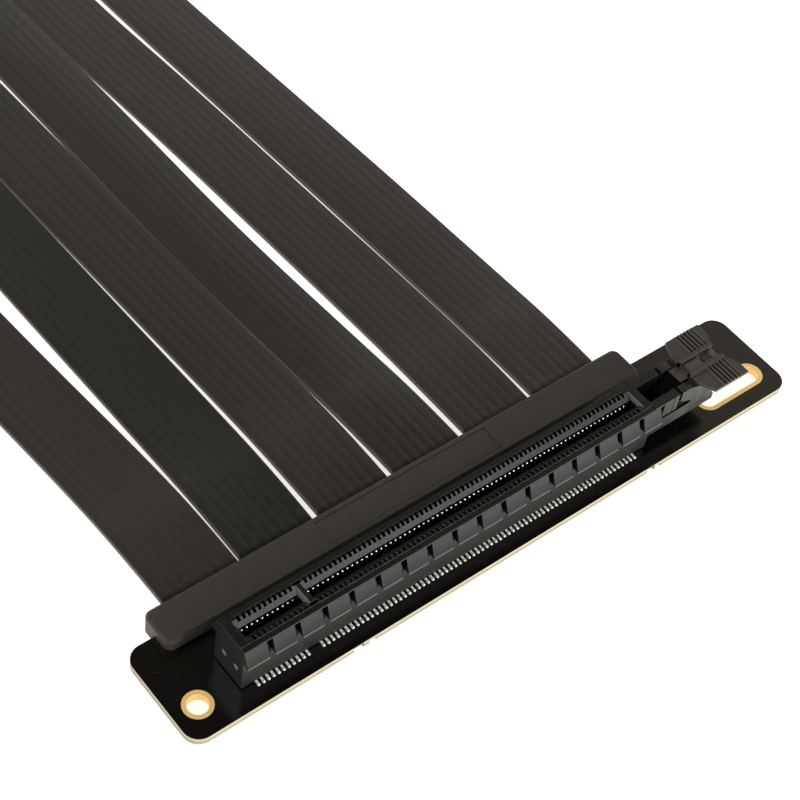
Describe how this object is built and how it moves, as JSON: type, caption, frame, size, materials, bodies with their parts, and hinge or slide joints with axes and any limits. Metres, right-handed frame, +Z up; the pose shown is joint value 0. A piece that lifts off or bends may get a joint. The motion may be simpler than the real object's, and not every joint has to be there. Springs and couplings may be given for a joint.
{
  "type": "expansion card extension cable",
  "caption": "Flat ribbon extension for an expansion card: a slotted socket with a pivoting latch on a drilled board, and ribbons to a plug with an edge connector.",
  "frame": {"origin": "on the resting surface, under the middle of the socket end's outline, without the ribbons and the plug", "axes": "+X along the card slot from its short end to the latch, +Y from the socket to the plug, +Z up, out of the card slot"},
  "size_m": [0.135, 0.2482, 0.0145],
  "materials": {
    "board_black": "glossy black solder mask on a glass-fibre board",
    "hole_plating": "plated, satin",
    "housing_black": "moulded, semi-matte",
    "contact_metal": "tinned, bright",
    "latch_grey": "moulded, semi-matte",
    "overmould_grey": "fine matte texture",
    "ribbon_black": "semi-gloss flexible sheath with fine lengthwise ribs",
    "finger_gold": "gold plated"
  },
  "bodies": {
    "cable": {"socket_board": "board_black", "round_hole_plating": "hole_plating", "slotted_hole_plating": "hole_plating", "slot_housing": "housing_black", "front_contacts": "contact_metal", "rear_contacts": "contact_metal", "socket_overmould": "overmould_grey", "ribbon_1": "ribbon_black", "ribbon_2": "ribbon_black", "ribbon_3": "ribbon_black", "ribbon_4": "ribbon_black", "ribbon_5": "ribbon_black", "ribbon_6": "ribbon_black", "plug_overmould": "overmould_grey", "plug_board": "board_black", "plug_fingers_top": "finger_gold", "plug_fingers_bottom": "finger_gold"},
    "latch": {"retention_latch": "latch_grey"}
  },
  "joints": [
    {"name": "latch_pivot", "type": "hinge", "parent": "cable", "child": "latch", "pos_m": [0.04215, -0.0041, 0.008], "axis": [0, 1, 0], "range_deg": [0, 30]}
  ]
}
